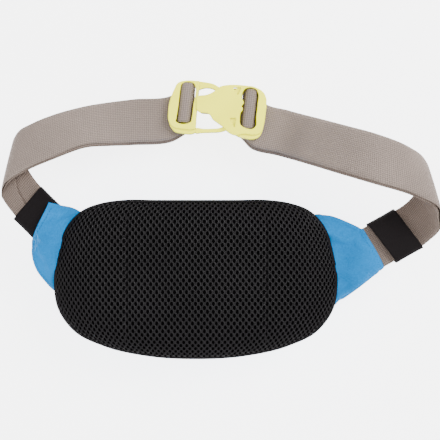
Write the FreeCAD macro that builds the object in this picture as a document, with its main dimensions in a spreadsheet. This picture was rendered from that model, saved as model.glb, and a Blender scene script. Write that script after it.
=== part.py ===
import FreeCAD, Part
import Sketcher
import math
import os

# Waist pack lying on its front face: +Z is the wearer's side, +Y is the pack's top edge,
# +X runs to the female side of the buckle. Millimetres. The origin is the centre of the
# front pocket's flat face.

V = FreeCAD.Vector
doc = FreeCAD.newDocument("waist_pack")
sheet = doc.addObject("Spreadsheet::Sheet", "size")

SIZES = {
    # pouch
    "panel_half_w": 123, "panel_half_h": 69, "pouch_half_w": 118.7, "pouch_half_h": 64.7,
    "fabric": 1.6, "front_z": 9, "seam_z": 52, "pocket_half_w": 94, "pocket_half_h": 45,
    "pocket_shift_y": -3, "pad_groove_x": 60, "pad_groove_w": 3, "binding_h": 4,
    # zips
    "zip_half_length": 60, "zip_slot": 7, "zip_gap": 1, "tooth_row": 1.3, "tape_w": 7.4,
    "slider_l": 9, "slider_w": 6.4, "plate_h": 1.5, "pull_l": 15, "pull_w": 4.8, "pull_h": 1.2,
    "pull_hang_deg": 7, "main_zip_z": 31, "pocket_zip_y": 52,
    # webbing
    "web_w": 38, "web_t": 1.6, "tail_t": 1.4, "layer_pitch": 2, "keeper_l": 25, "left_keeper_from": 1, "right_keeper_from": 6, "keeper_wall": 1.5,
    # buckle
    "buckle_x": 18.6, "buckle_y": 149.4, "buckle_z": 38, "buckle_yaw": -4.2, "buckle_half_l": 44,
    "buckle_half_w": 25, "male_h": 9, "female_h": 11, "bar_low": 2.5, "bar_high": 7,
    "bar_w": 7, "guide_half": 2, "guide_low": 3.4, "guide_high": 7.4, "prong_low": 2.6,
    "prong_high": 8.6, "loop_t": 1.8, "edge_round": 0.9,
}
for row, (alias, value) in enumerate(SIZES.items(), start=1):
    sheet.set("A%d" % row, alias)
    sheet.set("B%d" % row, str(value))
    sheet.setAlias("B%d" % row, alias)
doc.recompute()


def mm(alias):
    return float(sheet.get(alias))


def feature(name, shape, placement=None):
    """A sub-part whose outline is freely curved: fabric, foam, mesh and webbing."""
    obj = doc.addObject("Part::Feature", name)
    obj.Label = name
    obj.Shape = shape
    if placement:
        obj.Placement = placement
    return obj


# ---------------------------------------------------------------- pouch

HALF_OUTLINE = [(0, 70.3), (35, 70.3), (66, 70.2), (85, 67.3), (101, 61), (114.5, 46), (121, 26),
                (125.3, -3), (121.5, -26), (107, -46), (82, -58.6), (45, -67.4), (0, -70.3)]


def outline(half_w, half_h, z, shift_y=0):
    kx = half_w / 125.3
    ky = half_h / 70.3
    right = [V(x * kx, y * ky + shift_y, z) for x, y in HALF_OUTLINE]
    left = [V(-p.x, p.y, z) for p in reversed(right[1:-1])]
    curve = Part.BSplineCurve()
    curve.interpolate(Points=right + left, PeriodicFlag=True)
    return Part.Wire(curve.toShape())


def slab(half_w, half_h, z, height, shift_y=0):
    return Part.Face(outline(half_w, half_h, z, shift_y)).extrude(V(0, 0, height))


def ring(half_w, half_h, wall, z, height):
    outer = slab(half_w, half_h, z, height)
    return outer.cut(slab(half_w - wall, half_h - wall, z - 1, height + 2))


def crown(levels):
    return Part.makeLoft([outline(w, h, z) for w, h, z in levels], True, True)


def block(x, y, z, dx, dy, dz):
    return Part.makeBox(dx, dy, dz, V(x, y, z))


pw = mm("pouch_half_w")
ph = mm("pouch_half_h")
cloth = mm("fabric")
front_z = mm("front_z")
seam_z = mm("seam_z")
zip_half = mm("zip_half_length")
slot = mm("zip_slot")
zip_y = mm("pocket_zip_y")
zip_z = mm("main_zip_z")
TOP_SPLIT_Y = 30
GAP = 0.3

qw = mm("pocket_half_w")
qh = mm("pocket_half_h")
qy = mm("pocket_shift_y")
pocket_outer = Part.makeLoft([outline(qw - 6, qh - 6, 0, qy), outline(qw, qh, front_z - GAP, qy)], True, True)
pocket_inner = Part.makeLoft([outline(qw - 8, qh - 8, cloth, qy), outline(qw - 2, qh - 2, front_z + 1, qy)],
                             True, True)
feature("front_pocket_panel", pocket_outer.cut(pocket_inner))

front = slab(pw - 0.5, ph - 0.5, front_z, cloth)
feature("front_panel", front.cut(block(-zip_half - 2, zip_y - slot / 2, 0, 2 * zip_half + 4, slot, 50)))
feature("pocket_lining", slab(pw - 6, ph - 6, front_z + 5.4, 0.8))
feature("front_piping", ring(pw + 2.2, ph + 2.2, 1.9, front_z, 3))

wall = ring(pw, ph, cloth, front_z + cloth + GAP, seam_z - front_z - cloth - GAP)
top_half = block(-200, TOP_SPLIT_Y, 0, 400, 100, 80)
low_half = block(-200, TOP_SPLIT_Y - GAP - 200, 0, 400, 200, 80)
zip_hole = block(-zip_half - 2, ph - 5, zip_z - slot / 2, 2 * zip_half + 4, 10, slot)
feature("top_gusset", wall.common(top_half).cut(zip_hole))
feature("lower_gusset", wall.common(low_half))

feature("edge_binding", ring(mm("panel_half_w"), mm("panel_half_h"), 3.7, seam_z + GAP, mm("binding_h")))
feature("back_liner", slab(pw + 0.2, ph + 0.2, seam_z + 0.4, 1.2))

pad_z = seam_z + 1.9
mesh_outer = crown([(pw, ph, pad_z), (pw - 2, ph - 2, 58.8), (pw - 11, ph - 10, 61.6), (pw - 33, ph - 28, 63.4)])
mesh_inner = crown([(pw - 2.5, ph - 2.5, pad_z - 0.1), (pw - 5, ph - 5, 57.5), (pw - 14, ph - 13, 60),
                    (pw - 35.5, ph - 30.5, 61.6)])
feature("back_mesh_face", mesh_outer.cut(mesh_inner))

foam = crown([(pw - 3.5, ph - 3.5, pad_z), (pw - 5.8, ph - 5.8, 57.1), (pw - 14.8, ph - 13.8, 59.5),
              (pw - 36, ph - 31, 61.1)])
groove = mm("pad_groove_x")
half_groove = mm("pad_groove_w") / 2
for name, x0, x1 in (("foam_left", -200, -groove - half_groove),
                     ("foam_centre", -groove + half_groove, groove - half_groove),
                     ("foam_right", groove + half_groove, 200)):
    feature(name, foam.common(block(x0, -100, 0, x1 - x0, 200, 100)))

# ---------------------------------------------------------------- hip wings

LEFT_WING = [(-90, 62), (-110, 65), (-118, 63.8), (-144, 36), (-142, 16), (-135, 1.5), (-122.8, -11.6),
             (-100, -11.6)]
RIGHT_WING = [(90, 58), (112, 58), (125, 54.2), (143.3, 43.2), (161.8, 11), (151, -0.5), (123.2, -21),
              (100, -21)]


def wing(points, z, height):
    corners = [V(x, y, z) for x, y in points]
    plate = Part.Face(Part.makePolygon(corners + corners[:1])).extrude(V(0, 0, height))
    return plate.cut(slab(mm("panel_half_w") + GAP, mm("panel_half_h") + GAP, 0, 100))


LEFT_WING_Z = 54.2
RIGHT_WING_Z = 55.2
feature("left_wing_face", wing(LEFT_WING, LEFT_WING_Z, 1.4))
feature("left_wing_lining", wing(LEFT_WING, LEFT_WING_Z - 1.8, 1.4))
feature("right_wing_face", wing(RIGHT_WING, RIGHT_WING_Z, 1.4))
feature("right_wing_lining", wing(RIGHT_WING, RIGHT_WING_Z - 1.8, 1.4))

# ---------------------------------------------------------------- webbing

# Each station is one line across the strap: its inner and its outer edge point. They start
# where the strap is sewn to the wing and end under the buckle.
LEFT_STRAP = [
    ((-118.2, 64.2, 55), (-146.2, 38.2, 55)), ((-129.5, 76, 55), (-157.3, 50, 55)),
    ((-141.5, 89, 55), (-169.1, 62.9, 55)), ((-155, 121, 61.5), (-167.5, 77, 60.5)),
    ((-149, 127, 68.5), (-160, 84, 68)), ((-137, 133, 71.5), (-144, 93.5, 72)),
    ((-118.5, 141.5, 67), (-120, 104.5, 73)), ((-93.5, 151, 53), (-93, 116, 65)),
    ((-76, 156, 42), (-75.5, 119, 50)), ((-56, 159.5, 36.6), (-56.5, 121, 36.6)),
    ((-16, 164, 36.6), (-18.5, 125.5, 36.6)),
]
RIGHT_STRAP = [
    ((145.2, 44.9, 56), (164, 11.8, 56)), ((161.5, 54.1, 56), (180.3, 21, 56)),
    ((178.9, 63.9, 56), (197.7, 30.9, 56)), ((192, 78, 62), (205, 43, 74)),
    ((195, 92, 75), (202, 53, 88)), ((187, 102.5, 89), (196, 62, 99)),
    ((172, 111, 97), (177, 72, 102)), ((149.5, 120.5, 95), (148, 82, 97)),
    ((127, 130, 78), (118.5, 93, 80)), ((105, 140, 55.5), (96.5, 102.5, 56.5)),
    ((82, 149.6, 36.6), (73.5, 111.5, 36.6)), ((58, 156, 36.6), (48.5, 118.5, 36.6)),
]


def strap_frames(stations):
    """Per station: both edge points and the unit normal that points to the fold's inner side."""
    rails = [(V(*a), V(*b)) for a, b in stations]
    frames = []
    for i, (a, b) in enumerate(rails):
        before = rails[max(i - 1, 0)]
        after = rails[min(i + 1, len(rails) - 1)]
        along = (after[0] + after[1]) - (before[0] + before[1])
        normal = (b - a).cross(along).normalize()
        frames.append((a, b, normal))
    if frames[0][2].z < 0:
        frames = [(a, b, n * -1) for a, b, n in frames]
    return frames


def strap(frames, thickness, offset, shifts):
    """A closed strip whose four long faces are ruled from station to station."""
    sections = []
    for (a, b, n), shift in zip(frames, shifts):
        side = (b - a).normalize() * shift
        low = n * (offset - thickness / 2)
        high = n * (offset + thickness / 2)
        sections.append([a + side + low, b + side + low, b + side + high, a + side + high])
    faces = []
    for here, there in zip(sections, sections[1:]):
        for i in range(4):
            j = (i + 1) % 4
            faces.append(Part.makeRuledSurface(Part.makeLine(here[i], here[j]),
                                               Part.makeLine(there[i], there[j])))
    for cap in (sections[0], sections[-1]):
        first, second, third, fourth = cap
        faces.append(Part.makeRuledSurface(Part.makeLine(first, second), Part.makeLine(fourth, third)))
    shell = Part.makeShell(faces)
    shell.sewShape()
    solid = Part.Solid(shell)
    if solid.Volume < 0:
        solid.reverse()
    return solid


def tail_frames(frames, extra):
    """The tail starts at the keeper and reaches farther under the buckle than the strap."""
    a, b, n = frames[-1]
    before = frames[-2]
    along = (a - before[0]).normalize() * extra
    return frames[1:-1] + [(a + along, b + along, n)]


for side, stations, reach in (("left", LEFT_STRAP, 11), ("right", RIGHT_STRAP, 11)):
    frames = strap_frames(stations)
    feature(side + "_strap", strap(frames, mm("web_t"), 0, [0] * len(frames)))
    tails = tail_frames(frames, reach)
    shifts = [0, 0, 1] + [2.5] * (len(tails) - 3)
    feature(side + "_strap_tail", strap(tails, mm("tail_t"), mm("layer_pitch"), shifts))

    start, end = [(f[0] + f[1]) * 0.5 for f in frames[:2]]
    along = (end - start).normalize()
    across = (frames[0][1] - frames[0][0]).normalize()
    up = V(0, 0, 1)
    width = mm("web_w") + 1.2
    height = 5
    wall_t = mm("keeper_wall")
    length = mm("keeper_l")
    outer = Part.makeBox(length, width + 2 * wall_t, height + 2 * wall_t,
                         V(0, -width / 2 - wall_t, -height / 2 - wall_t))
    inner = Part.makeBox(length + 2, width, height, V(-1, -width / 2, -height / 2))
    yaw = math.degrees(math.atan2(along.y, along.x))
    lift = mm("layer_pitch") / 2
    sewn = along * mm(side + "_keeper_from")
    place = FreeCAD.Placement(start + sewn + up * lift, FreeCAD.Rotation(up, yaw))
    feature(side + "_keeper", outer.cut(inner), place)

# ---------------------------------------------------------------- hard parts

def new_body(name, placement):
    body = doc.addObject("PartDesign::Body", name)
    body.Label = name
    body.Placement = placement
    return body


def sketch_on(body, role, loops, lift):
    plane = next(f for f in body.Origin.OriginFeatures if f.Role == role)
    sk = body.newObject("Sketcher::SketchObject", body.Name + "_sketch")
    sk.AttachmentSupport = [(plane, "")]
    sk.MapMode = "FlatFace"
    sk.setExpression("AttachmentOffset.Base.z", lift)
    for points in loops:
        first = sk.GeometryCount
        n = len(points)
        for i in range(n):
            x0, y0 = points[i]
            x1, y1 = points[(i + 1) % n]
            sk.addGeometry(Part.LineSegment(V(x0, y0, 0), V(x1, y1, 0)), False)
        for i in range(n):
            sk.addConstraint(Sketcher.Constraint("Coincident", first + i, 2, first + (i + 1) % n, 1))
    return sk


def pad(body, loops, low, height, role="XY_Plane"):
    step = body.newObject("PartDesign::Pad", body.Name + "_pad")
    step.Profile = sketch_on(body, role, loops, low)
    step.setExpression("Length", height)
    doc.recompute()
    return step


def pocket(body, loops, low, height, role="XY_Plane"):
    before = body.Tip.Shape.Volume
    step = body.newObject("PartDesign::Pocket", body.Name + "_pocket")
    step.Profile = sketch_on(body, role, loops, low)
    step.Reversed = True
    step.setExpression("Length", height)
    doc.recompute()
    if step.Shape.Volume >= before - 1e-6:
        raise RuntimeError("pocket removes nothing in " + body.Name)
    return step


def round_top(body, level, picks):
    """Round the rim edges at one height whose middle point the test picks."""
    tip = body.Tip
    names = []
    for i, edge in enumerate(tip.Shape.Edges, start=1):
        box = edge.BoundBox
        if abs(box.ZMin - level) < 1e-4 and abs(box.ZMax - level) < 1e-4:
            if picks(edge.CenterOfMass):
                names.append("Edge%d" % i)
    fillet = body.newObject("PartDesign::Fillet", body.Name + "_round")
    fillet.Base = (tip, names)
    fillet.setExpression("Radius", "size.edge_round")
    doc.recompute()


def rect(x0, y0, x1, y1):
    return [(x0, y0), (x1, y0), (x1, y1), (x0, y1)]


def mirrored(points):
    return [(x, -y) for x, y in reversed(points)]


buckle_place = FreeCAD.Placement(V(mm("buckle_x"), mm("buckle_y"), mm("buckle_z")),
                                 FreeCAD.Rotation(V(0, 0, 1), mm("buckle_yaw")))
hl = mm("buckle_half_l")
hw = mm("buckle_half_w")
BAR = hl - 12 - mm("bar_w")

# Male half: end bar, webbing bar, cross bar and the centre guide.
male = new_body("buckle_male_frame", buckle_place)
c = 3
male_outer = [(-hl + c, -hw), (-17, -hw), (-17, hw), (-hl + c, hw), (-hl, hw - c), (-hl, c - hw)]
pad(male, [male_outer, rect(-38, -20, -12 - BAR + 5, 20), rect(-BAR, -20, -21, 20)], "0", "size.male_h")
pocket(male, [rect(-BAR - 7.5, -20.0, -BAR + 0.5, 20.0)], "size.bar_high", "size.male_h")
pocket(male, [rect(-BAR - 7.5, -20.0, -BAR + 0.5, 20.0)], "0", "size.bar_low")
g = mm("guide_half")
pad(male, [[(-18, -g), (9, -g), (11, 1 - g), (11, g - 1), (9, g), (-18, g)]], "size.guide_low",
    "size.guide_high - size.guide_low")
round_top(male, mm("male_h"), lambda p: abs(p.y) > 19 or p.x < -37.5 or p.x > -21.5)

# Prongs: each bends at its root beside the cross bar and has a barb behind the lip.
PRONG = [(-16.6, 19.8), (13.6, 19.8), (13.6, 22.4), (8.7, 24.9), (8.7, 22.6), (4.5, 22.6), (4.5, 25),
         (-16.6, 25)]
for name, loop in (("buckle_prong_upper", PRONG), ("buckle_prong_lower", mirrored(PRONG))):
    prong = new_body(name, buckle_place)
    pad(prong, [loop], "size.prong_low", "size.prong_high - size.prong_low")
    round_top(prong, mm("prong_high"), lambda p: p.x < 4 and p.x > -16)

# Female half: arrow plate with a channel for the guide, latch lips and the webbing bar.
female = new_body("buckle_female_body", buckle_place)
arrow = [(-15.5, -4.3), (-8.5, -11), (4, -17), (14.2, -17), (14.2, -hw), (hl - c, -hw), (hl, c - hw),
         (hl, hw - c), (hl - c, hw), (14.2, hw), (14.2, 17), (4, 17), (-8.5, 11), (-15.5, 4.3)]
pad(female, [arrow, rect(20, -20, BAR, 20), rect(BAR + 7, -20, 38, 20)], "0", "size.female_h")
pocket(female, [rect(BAR - 0.5, -20, BAR + 7.5, 20)], "size.bar_high", "size.female_h")
pocket(female, [rect(BAR - 0.5, -20, BAR + 7.5, 20)], "0", "size.bar_low")
pocket(female, [rect(-16, -g - 0.4, 13, g + 0.4)], "size.guide_low - 0.4",
       "size.guide_high - size.guide_low + 0.8")
floors = [rect(4.8, 16.5, 14.7, hw), rect(4.8, -hw, 14.7, -16.5)]
pad(female, floors, "0", "2.2")
lips = [rect(5, 23.1, 8.2, hw), rect(5, -hw, 8.2, -23.1)]
pad(female, lips, "2", "size.prong_high - 2")
round_top(female, mm("female_h"), lambda p: True)

# Webbing turned over each bar; it travels with its half of the buckle.
t = mm("loop_t")


def web_loop(name, side):
    near = BAR - GAP
    far = BAR + 7 + GAP
    top = mm("bar_high") + GAP
    profile = [(near - t, 0), (near, 0), (near, top), (far, top), (far, 0), (far + t, 0),
               (far + t, top + t - 0.8), (far + t - 0.8, top + t), (near - t + 0.8, top + t),
               (near - t, top + t - 0.8)]
    half = mm("web_w") / 2
    corners = [V(side * x, -half, z) for x, z in profile]
    face = Part.Face(Part.makePolygon(corners + corners[:1]))
    feature(name, face.extrude(V(0, 2 * half, 0)), buckle_place)


web_loop("left_strap_loop", -1)
web_loop("right_strap_loop", 1)

# ---------------------------------------------------------------- zips

# In a zip's own frame x is the travel, y is across the tape and -z points outwards from the
# fabric's outer face at z = 0.
gap = mm("zip_gap")
row_w = mm("tooth_row")
tape_w = mm("tape_w")


def zip_pair(name, y0, y1, z0, z1, half, place):
    """Two equal strips on either side of the zip's centre line."""
    strips = []
    for tag, low in (("_a", y0), ("_b", -y1)):
        box = doc.addObject("Part::Box", name + tag)
        box.setExpression("Length", "2 * (size.zip_half_length + %g)" % half)
        box.Width = y1 - y0
        box.Height = z1 - z0
        box.Placement = FreeCAD.Placement(V(-zip_half - half, low, z0), FreeCAD.Rotation())
        strips.append(box)
    pair = doc.addObject("Part::Compound", name)
    pair.Label = name
    pair.Links = strips
    pair.Placement = place
    return pair


def zip_set(prefix, place, slider_x):
    zip_pair(prefix + "_teeth", gap / 2, gap / 2 + row_w, 1.0, 2.6, 1, place)
    zip_pair(prefix + "_tapes", gap / 2 + row_w + 0.2, gap / 2 + row_w + 0.2 + tape_w, 2.3, 3.1, 3, place)

    stops = doc.addObject("Part::Compound", prefix + "_stops")
    stops.Label = prefix + "_stops"
    tabs = []
    for tag, x in (("_l", -zip_half - 3), ("_r", zip_half - 1)):
        tab = doc.addObject("Part::Box", prefix + "_stop" + tag)
        tab.Length = 4
        tab.setExpression("Width", "size.zip_slot + 3")
        tab.Height = 0.8
        tab.Placement = FreeCAD.Placement(V(x, -slot / 2 - 1.5, -1.3), FreeCAD.Rotation())
        tabs.append(tab)
    stops.Links = tabs
    stops.Placement = place

    at = place.multiply(FreeCAD.Placement(V(slider_x, 0, 0), FreeCAD.Rotation()))
    slider = new_body(prefix + "_slider", at)
    hx = mm("slider_l") / 2
    hy = mm("slider_w") / 2
    plate = [(-hx, -hy + 1.4), (-hx + 2, -hy), (hx, -hy), (hx, hy), (-hx + 2, hy), (-hx, hy - 1.4)]
    pad(slider, [plate], "-0.8", "size.plate_h")
    pad(slider, [rect(-hx + 0.5, -0.2, 0, 0.2)], "0.6", "2.9")
    pad(slider, [plate], "3.4", "1")
    pad(slider, [rect(-2.6, -0.8, 2.6, 0.8)], "-3.6", "2.9")
    pocket(slider, [rect(-1.6, -1, 1.6, 1)], "-2.8", "2")

    # The pull swings on a round bar held in the slider's staple.
    pull_place = at.multiply(FreeCAD.Placement(V(0, 0, -1.8),
                                               FreeCAD.Rotation(V(0, 1, 0), mm("pull_hang_deg"))))
    length = mm("pull_l")
    half_pull = mm("pull_w") / 2
    thick = mm("pull_h")
    tab_shape = Part.makeBox(length, 2 * half_pull, thick, V(0, -half_pull, -thick / 2))
    tab_shape = tab_shape.cut(Part.makeBox(3.9, 2.6, 4, V(-0.1, -1.3, -2)))
    tab_shape = tab_shape.cut(Part.makeCylinder(1, 4, V(length - 2.4, 0, -2)))
    pin = Part.makeCylinder(thick / 2, 2 * half_pull, V(0, -half_pull, 0), V(0, 1, 0))
    feature(prefix + "_pull", tab_shape.fuse(pin).removeSplitter(), pull_place)


pocket_zip = FreeCAD.Placement(V(0, zip_y, front_z), FreeCAD.Rotation())
main_zip = FreeCAD.Placement(V(0, ph, zip_z), FreeCAD.Rotation(V(1, 0, 0), 90))
zip_set("pocket_zip", pocket_zip, -50)
zip_set("main_zip", main_zip, 48)

# ---------------------------------------------------------------- checks and export

doc.recompute()
for obj in doc.Objects:
    if "Invalid" in obj.State or "Error" in obj.State:
        raise RuntimeError("%s is %s" % (obj.Label, obj.State))

NODES = [
    "front_pocket_panel", "front_panel", "pocket_lining", "front_piping", "top_gusset", "lower_gusset",
    "edge_binding", "back_liner", "back_mesh_face", "foam_left", "foam_centre", "foam_right",
    "left_wing_face", "left_wing_lining", "right_wing_face", "right_wing_lining", "left_strap",
    "left_strap_tail", "left_strap_loop", "right_strap", "right_strap_tail", "right_strap_loop",
    "left_keeper", "right_keeper", "buckle_male_frame", "buckle_prong_upper", "buckle_prong_lower",
    "buckle_female_body", "main_zip_teeth", "main_zip_tapes", "main_zip_stops", "main_zip_slider",
    "main_zip_pull", "pocket_zip_teeth", "pocket_zip_tapes", "pocket_zip_stops", "pocket_zip_slider",
    "pocket_zip_pull",
]
os.makedirs("parts", exist_ok=True)
for node in NODES:
    obj = doc.getObject(node)
    shape = obj.Shape
    if shape.isNull() or not shape.isValid() or not shape.Solids:
        raise RuntimeError("bad shape: " + node)
    shape.exportStep("parts/%s.step" % node)
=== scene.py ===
"""Looks of a waist pack lying on its front face. Metres; +Z is the wearer's side, +Y the top edge."""
import math

import bpy
import numpy as np
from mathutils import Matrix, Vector, noise


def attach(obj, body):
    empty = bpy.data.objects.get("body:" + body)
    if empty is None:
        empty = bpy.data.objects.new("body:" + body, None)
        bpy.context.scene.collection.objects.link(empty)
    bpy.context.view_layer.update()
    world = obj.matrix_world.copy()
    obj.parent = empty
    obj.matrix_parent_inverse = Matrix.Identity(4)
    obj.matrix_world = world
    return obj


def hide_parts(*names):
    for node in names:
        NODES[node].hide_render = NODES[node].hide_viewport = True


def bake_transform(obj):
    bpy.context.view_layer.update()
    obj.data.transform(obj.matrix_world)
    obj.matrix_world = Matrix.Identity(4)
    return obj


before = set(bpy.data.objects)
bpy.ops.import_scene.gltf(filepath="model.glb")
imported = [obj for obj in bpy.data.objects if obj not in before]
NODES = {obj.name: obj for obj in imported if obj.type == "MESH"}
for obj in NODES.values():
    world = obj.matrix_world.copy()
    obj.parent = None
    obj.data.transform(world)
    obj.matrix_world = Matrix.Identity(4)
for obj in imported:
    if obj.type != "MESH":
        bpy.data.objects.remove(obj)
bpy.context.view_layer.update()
MM = 0.001
ROOT = "pack_and_belt"

# ---------------------------------------------------------------- sizes, in millimetres

PANEL = (123.0, 69.0)
POUCH = (118.7, 64.7)
FRONT_Z = 9.0
WALL_LOW = 11.0
WALL_HIGH = 52.2
GROOVE_X = 60.0
GROOVE_DEPTH = 1.6
CROWN = 6.9
PAD_RIM_Z = 56.5
PAD_BASE_Z = 53.95
HOLE_PITCH_X = 5.1
HOLE_PITCH_Y = 6.7
ZIP_HALF = 60.0
ZIP_SLOT = 7.0
MAIN_ZIP_Z = 31.0
POCKET_ZIP_Y = 52.0
POCKET = (94.0, 45.0, -3.0)
BUCKLE = (18.6, 149.4, 38.0)
BUCKLE_YAW = math.radians(-4.2)

HALF_OUTLINE = [(0, 70.3), (35, 70.3), (66, 70.2), (85, 67.3), (101, 61), (114.5, 46), (121, 26),
                (125.3, -3), (121.5, -26), (107, -46), (82, -58.6), (45, -67.4), (0, -70.3)]

# Each station is a line across the strap, from the wing to the buckle: inner edge, outer edge.
LEFT_STRAP = [
    ((-114.8, 61, 57), (-139.6, 38, 52.5)),
    ((-118.2, 64.2, 57.5), (-143.2, 41, 52.5)), ((-129.5, 76, 57.5), (-154.3, 52.8, 52.5)),
    ((-140.5, 89, 57.5), (-164.6, 66.5, 53)), ((-155, 121, 61.5), (-166, 78, 60.5)),
    ((-149, 127, 68.5), (-160, 84, 68)), ((-137, 133, 71.5), (-144, 93.5, 72)),
    ((-118.5, 141.5, 67), (-120, 104.5, 73)), ((-93.5, 151, 53), (-93, 116, 65)),
    ((-76, 156, 42), (-75.5, 119, 50)), ((-56, 159.5, 36.6), (-56.5, 121, 36.6)),
    ((-19, 164.6, 36.6), (-18.5, 125.5, 36.6)),
    ((-11, 171, 36), (-10.5, 130.5, 36)),
    ((-1, 173, 36.2), (-3.5, 135, 36.2)),
]
RIGHT_STRAP = [
    ((140, 41.9, 55.5), (158.8, 8.8, 55.5)),
    ((145.2, 44.9, 56), (164, 11.8, 56)), ((161.5, 54.1, 56), (180.3, 21, 56)),
    ((178.9, 63.9, 56), (197.7, 30.9, 56)), ((192, 78, 62), (205, 43, 74)),
    ((195, 92, 75), (202, 53, 88)), ((187, 102.5, 89), (196, 62, 99)),
    ((172, 111, 97), (177, 72, 102)), ((149.5, 120.5, 95), (148, 82, 97)),
    ((127, 130, 78), (118.5, 93, 80)), ((105, 140, 55.5), (96.5, 102.5, 56.5)),
    ((82, 149.6, 36.6), (73.5, 111.5, 36.6)), ((59.5, 157, 36.6), (48.5, 118.5, 36.6)),
    ((52.5, 165.5, 36), (42, 125.5, 36)),
    ((42.5, 170, 36.2), (36.5, 131, 36.2)),
]

# The buckle seen from above, in its own frame: along the belt, then across it.
MALE_RIM = [(-34.4, 21.4), (-29.8, 22.7), (-24.3, 23.3), (-20.1, 23.2), (-17.3, 23.1), (-17.1, 22.3),
    (-17.2, 17.9), (-17.4, 4.9), (-17.8, -9), (-17.7, -19.2), (-17.8, -21.8), (-18.6, -22.4),
    (-30.1, -23.5), (-35.8, -22.6), (-40, -18.5), (-42.2, -13.1), (-42.9, -6.2), (-42.6, 1.2),
    (-41, 8.7), (-38.7, 15.4), (-36.7, 19.7)]
MALE_SLOT = [(-31.3, 20.4), (-24.2, 21.3), (-22.1, 20.5), (-20.9, 18.5), (-21.3, 1.8), (-22.1, -11.2),
    (-22.4, -12.9), (-23.5, -13.7), (-34.5, -14.3), (-35.5, -13.7), (-35.2, -10.8), (-34.2, 0.9),
    (-33.4, 15.8), (-32.9, 19)]
UPPER_ARM = [(-18.6, 23.1), (-15, 23.1), (-10.4, 22.8), (-4.7, 21.8), (0, 19.6), (4.8, 17.6),
    (9.1, 15.9), (9.4, 12.4), (8, 12.3), (2.3, 14.1), (-2, 16), (-5.4, 17.5), (-10.9, 17.9),
    (-14.6, 17), (-18, 15.5)]
LOWER_ARM = [(-17.7, -22.4), (-11.7, -21.8), (-4.4, -21.1), (3, -20.2), (8.4, -18.4), (11.7, -15.9),
    (11.2, -12.9), (9.8, -12.7), (6.3, -15.1), (2.7, -16.6), (-2.8, -17.5), (-10.2, -18.2),
    (-18, -18.6)]
FEMALE_RIM = [(-18.4, 8.9), (-16.8, 9.9), (-10.5, 11.2), (-5.1, 13.9), (-1.2, 17.2), (1.4, 19.5),
    (5.5, 20.8), (12.9, 21.8), (22.1, 21.9), (29.6, 21.3), (35.7, 19.6), (39.9, 16.5), (42.5, 11.2),
    (42.8, 5.6), (42.5, -3.7), (41.7, -12.1), (40.4, -18.6), (37.9, -22.4), (33.8, -24.2),
    (25.5, -23.9), (16.1, -22.3), (10.8, -20.1), (6.4, -16.1), (1, -12.7), (-3.4, -9.8), (-5.9, -6.3),
    (-7.9, -4.9), (-11.1, -4.6), (-15.3, -4.4), (-17.8, -2.5), (-18.7, 3)]
FEMALE_SLOT = [(25.5, 19.9), (29.6, 20.2), (32.7, 19), (34.4, 16.6), (34.9, 6), (34.5, -5.2),
    (34.3, -13.5), (32.7, -15.2), (24.8, -14.9), (21.7, -13.1), (20.5, -6.2), (20.9, -2), (22.4, 0.6),
    (22.3, 2.1), (21.2, 3.6), (22.7, 5.8), (22.6, 7.8), (21, 10), (20.8, 13.3), (21.6, 16.6),
    (23.1, 18.8)]
UPPER_NOTCH = [(12.9, 19.2), (15.8, 19.3), (19, 19.3), (18.3, 16.3), (17, 13.5), (14.9, 16.2)]
LOWER_NOTCH = [(12.1, -7.9), (14.1, -7.6), (16.5, -7.6), (16.4, -11.6), (16.1, -15.2), (14, -11.8)]

# ---------------------------------------------------------------- curve and mesh helpers


def smooth_line(points, count, closed=False):
    """Points evenly spaced along a Catmull-Rom curve through the given points."""
    p = np.array(points, float)
    n = len(p)
    if closed:
        ext = np.vstack([p[-1], p, p[0], p[1]])
        spans = n
    else:
        ext = np.vstack([2 * p[0] - p[1], p, 2 * p[-1] - p[-2]])
        spans = n - 1
    fine = []
    for i in range(spans):
        a, b, c, d = ext[i:i + 4]
        k1 = np.linalg.norm(c - b) + 1e-9
        k0 = np.linalg.norm(b - a) + 1e-9
        k2 = np.linalg.norm(d - c) + 1e-9
        m1 = k1 * ((b - a) / k0 * k1 + (c - b) / k1 * k0) / (k0 + k1)
        m2 = k1 * ((c - b) / k1 * k2 + (d - c) / k2 * k1) / (k1 + k2)
        t = np.linspace(0, 1, 24, endpoint=False)[:, None]
        fine.append((2 * t**3 - 3 * t**2 + 1) * b + (t**3 - 2 * t**2 + t) * m1
                    + (3 * t**2 - 2 * t**3) * c + (t**3 - t**2) * m2)
    fine = np.vstack(fine + [p[:1] if closed else p[-1:]])
    run = np.r_[0, np.cumsum(np.linalg.norm(np.diff(fine, axis=0), axis=1))]
    where = np.linspace(0, run[-1], count + 1)[:-1] if closed else np.linspace(0, run[-1], count)
    return np.column_stack([np.interp(where, run, fine[:, k]) for k in range(p.shape[1])])


def outline(half_w, half_h, count, shift_y=0.0):
    """The pack's rounded outline, scaled to half a width and half a height."""
    right = [(x * half_w / 125.3, y * half_h / 70.3) for x, y in HALF_OUTLINE]
    left = [(-x, y) for x, y in reversed(right[1:-1])]
    line = smooth_line(right + left, count, closed=True)
    line[:, 1] += shift_y
    return line


def make_mesh(name, verts_mm, faces, material, uvs=None, smooth=True):
    """A mesh object from points in millimetres."""
    mesh = bpy.data.meshes.new(name)
    mesh.from_pydata([tuple(np.array(v) * MM) for v in verts_mm], [], faces)
    mesh.validate()
    if uvs is not None:
        layer = mesh.uv_layers.new(name="weave")
        for loop in mesh.loops:
            layer.data[loop.index].uv = uvs[loop.vertex_index]
    mesh.materials.append(material)
    mesh.polygons.foreach_set("use_smooth", [smooth] * len(mesh.polygons))
    obj = bpy.data.objects.new(name, mesh)
    bpy.context.scene.collection.objects.link(obj)
    return obj


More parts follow.
